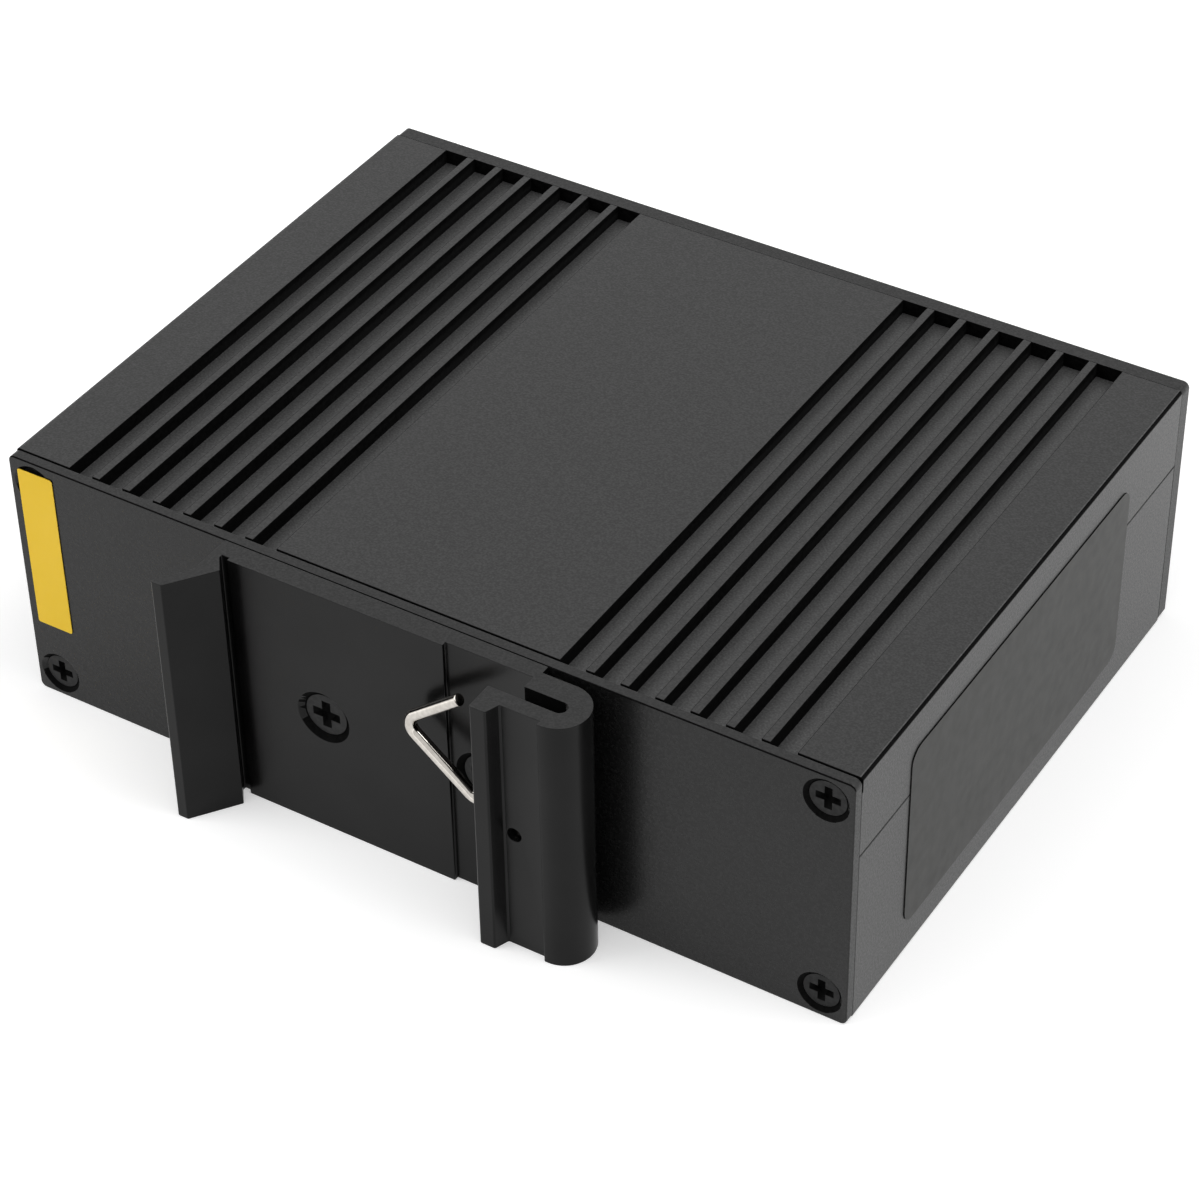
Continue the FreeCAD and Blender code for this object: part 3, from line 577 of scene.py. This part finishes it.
def with_broken_edges(node, width, finish, slot):
    """The same piece with its sharp edges broken."""
    bm = bmesh.new()
    bm.from_mesh(frame["nodes"][node].data)
    bmesh.ops.remove_doubles(bm, verts=bm.verts, dist=MERGE_DISTANCE)
    bmesh.ops.dissolve_limit(bm, angle_limit=FLAT_ANGLE, verts=bm.verts, edges=bm.edges)
    bm.normal_update()
    # Painted shade on recesses and holes, found before the edges are broken
    set_finish(bm, node, PAINTED_SHADE_FACES, PAINTED_SHADE_INDEX)
    sharp = [edge for edge in bm.edges if edge_angle(edge) > SHARP_ANGLE]
    for edge in sharp:
        edge.smooth = edge.is_convex
    rim = outline_edges(bm, node) if node in ROUNDED_PLATES else []
    break_edges(bm, [edge for edge in sharp if edge.is_convex and edge not in rim], width, EDGE_SEGMENTS)
    if rim:
        break_edges(bm, outline_edges(bm, node), RIM_BREAK, RIM_SEGMENTS)
    set_finish(bm, node, OTHER_FACES, OTHER_INDEX)
    set_finish(bm, node, PAINTED_SHADE_EDGE_FACES, PAINTED_SHADE_INDEX)
    finishes = [finish]
    # Painted shade, then the third finish, which on the top shell is painted light
    if node in PAINTED_SHADE_FACES or node in PAINTED_SHADE_EDGE_FACES:
        finishes.append(PAINTED_SHADE)
    if node in OTHER_FINISHES:
        finishes.append(OTHER_FINISHES[node])
    piece = new_piece(node + "_finished", bm, finishes)
    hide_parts(node)


def dress_nodes():
    """Gives every piece of the frame its finish, and the ones in view their broken edges."""
    slots = {part["node"]: part["material_slot"] for part in frame["record"]["subparts"]}
    for node, piece in frame["nodes"].items():
        finish = FINISHES[slots[node]]
        piece.data.materials.clear()
        piece.data.materials.append(finish)
        if node in EDGE_BREAKS:
            with_broken_edges(node, EDGE_BREAKS[node], finish, slots[node])


def sticker(name, low, high, normal, radius, finish):
    """Thin film with rounded corners between two corners of a flat face, standing out along normal."""
    upright = Vector((0, 0, high.z - low.z))
    across = high - low - upright
    points = [low, low + across, high, low + upright]
    if across.cross(upright).dot(normal) < 0:
        points.reverse()
    bm = bmesh.new()
    bm.faces.new([bm.verts.new(point + normal * STICKER_GAP) for point in points])
    bmesh.ops.bevel(bm, geom=bm.verts[:], offset=radius, offset_type="OFFSET", affect="VERTICES",
                    segments=STICKER_SEGMENTS, profile=0.5, material=-1)
    raised = bmesh.ops.extrude_face_region(bm, geom=bm.faces[:], use_keep_orig=True)
    moved = [item for item in raised["geom"] if isinstance(item, bmesh.types.BMVert)]
    bmesh.ops.translate(bm, verts=moved, vec=normal * STICKER_THICKNESS)
    bmesh.ops.recalc_face_normals(bm, faces=bm.faces)
    new_piece(name, bm, [finish])


def side_label():
    """Bare label on the right-hand side, across the seam."""
    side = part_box("bottom_shell")[1].x
    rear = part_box("rear_plate")[0].y
    low = Vector((side, rear + LABEL_START, LABEL_LOW))
    high = Vector((side, rear + LABEL_END, LABEL_HIGH))
    sticker("side_label", low, high, Vector((1, 0, 0)), LABEL_CORNER, label_black())


def screw_seal():
    """Bare seal over the rear plate's upper left screw."""
    plate_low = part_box("rear_plate")[0]
    low = Vector((plate_low.x + SEAL_LEFT, plate_low.y, SEAL_LOW))
    high = Vector((plate_low.x + SEAL_RIGHT, plate_low.y, SEAL_HIGH))
    sticker("screw_seal", low, high, Vector((0, -1, 0)), SEAL_CORNER, seal_yellow())


def smooth_range(tree, value, stops, levels):
    """Level that goes smoothly from one to another as the value goes from stop to stop."""
    node = tree.nodes.new("ShaderNodeMapRange")
    node.interpolation_type = "SMOOTHSTEP"
    for socket, number in zip(("From Min", "From Max", "To Min", "To Max"), (*stops, *levels)):
        node.inputs[socket].default_value = number
    tree.links.new(value, node.inputs["Value"])
    return node.outputs["Result"]


def combined(tree, operation, first, second):
    """Level that a Math node of this kind makes of two others."""
    node = tree.nodes.new("ShaderNodeMath")
    node.operation = operation
    tree.links.new(first, node.inputs[0])
    tree.links.new(second, node.inputs[1])
    return node.outputs[0]


def background_rays(tree):
    """Level of 1 for what is seen, also in gloss and clear plastic, and of 0 for what lights the object."""
    rays = tree.nodes.new("ShaderNodeLightPath").outputs
    seen = combined(tree, "MAXIMUM", rays["Is Camera Ray"], rays["Is Glossy Ray"])
    return combined(tree, "MAXIMUM", seen, rays["Is Transmission Ray"])


def floor_white():
    """Pale finish of the floor, lifted to white where it is seen, less so near the object."""
    material = bpy.data.materials.new("floor_white")
    material.use_nodes = True
    tree = material.node_tree
    tree.nodes.clear()
    diffuse = tree.nodes.new("ShaderNodeBsdfDiffuse")
    diffuse.inputs["Color"].default_value = (*grey(FLOOR_TONE), 1)
    distance = tree.nodes.new("ShaderNodeVectorMath")
    distance.operation = "LENGTH"
    tree.links.new(object_place(material), distance.inputs[0])
    lift = smooth_range(tree, distance.outputs["Value"], stops=(FLOOR_NEAR, FLOOR_FAR),
                        levels=(FLOOR_LIFT_NEAR, FLOOR_LIFT_FAR))
    glow = tree.nodes.new("ShaderNodeEmission")
    tree.links.new(combined(tree, "MULTIPLY", background_rays(tree), lift), glow.inputs["Strength"])
    both = tree.nodes.new("ShaderNodeAddShader")
    tree.links.new(diffuse.outputs[0], both.inputs[0])
    tree.links.new(glow.outputs[0], both.inputs[1])
    output = tree.nodes.new("ShaderNodeOutputMaterial")
    tree.links.new(both.outputs[0], output.inputs["Surface"])
    return material


def floor():
    """Plain floor that is seen as white, with the object's shadow near it."""
    bm = bmesh.new()
    bmesh.ops.create_grid(bm, x_segments=1, y_segments=1, size=FLOOR_SIZE / 2)
    mesh = bpy.data.meshes.new("floor")
    bm.to_mesh(mesh)
    bm.free()
    mesh.materials.append(floor_white())
    ground = bpy.data.objects.new("floor", mesh)
    bpy.context.scene.collection.objects.link(ground)


def world():
    """Soft white light from above that fades to all sides, and is seen as plain white."""
    surroundings = bpy.data.worlds.new("studio")
    surroundings.use_nodes = True
    tree = surroundings.node_tree
    background = tree.nodes["Background"]
    background.inputs["Color"].default_value = (*grey(1), 1)
    heading = tree.nodes.new("ShaderNodeTexCoord")
    nearness = tree.nodes.new("ShaderNodeVectorMath")
    nearness.operation = "DOT_PRODUCT"
    nearness.inputs[1].default_value = SKY_AXIS
    tree.links.new(heading.outputs["Generated"], nearness.inputs[0])
    fade = smooth_range(tree, nearness.outputs["Value"], stops=(SKY_FADED, SKY_FULL),
                        levels=(SKY_LOW, SKY_HIGH))
    strength = combined(tree, "MAXIMUM", fade, background_rays(tree))
    tree.links.new(strength, background.inputs["Strength"])
    bpy.context.scene.world = surroundings


def lamps():
    """Soft square lamps that point at the object, one high on the right and a weaker one on the left."""
    for name, (place, size, power) in LAMPS.items():
        light = bpy.data.lights.new(name, "AREA")
        light.size = size
        light.energy = power
        lamp = bpy.data.objects.new(name, light)
        lamp.location = place
        lamp.rotation_mode = "QUATERNION"
        lamp.rotation_quaternion = (LAMP_TARGET - place).to_track_quat("-Z", "Y")
        bpy.context.scene.collection.objects.link(lamp)


def camera():
    """Camera that looks down on the rear right corner."""
    data = bpy.data.cameras.new("camera")
    data.lens = CAMERA_LENS
    data.sensor_width = CAMERA_SENSOR
    data.clip_start = CAMERA_CLIP_START
    data.clip_end = CAMERA_CLIP_END
    eye = bpy.data.objects.new("camera", data)
    back = Vector((
        math.sin(CAMERA_AZIMUTH) * math.cos(CAMERA_ELEVATION),
        -math.cos(CAMERA_AZIMUTH) * math.cos(CAMERA_ELEVATION),
        math.sin(CAMERA_ELEVATION),
    ))
    turn = (-back).to_track_quat("-Z", "Y").to_matrix().to_4x4()
    eye.matrix_world = Matrix.Translation(CAMERA_PLACE) @ turn @ Matrix.Rotation(CAMERA_ROLL, 4, "Z")
    bpy.context.scene.collection.objects.link(eye)
    bpy.context.scene.camera = eye


dress_nodes()
side_label()
screw_seal()
floor()
world()
lamps()
camera()
bpy.context.scene.view_settings.view_transform = "Standard"
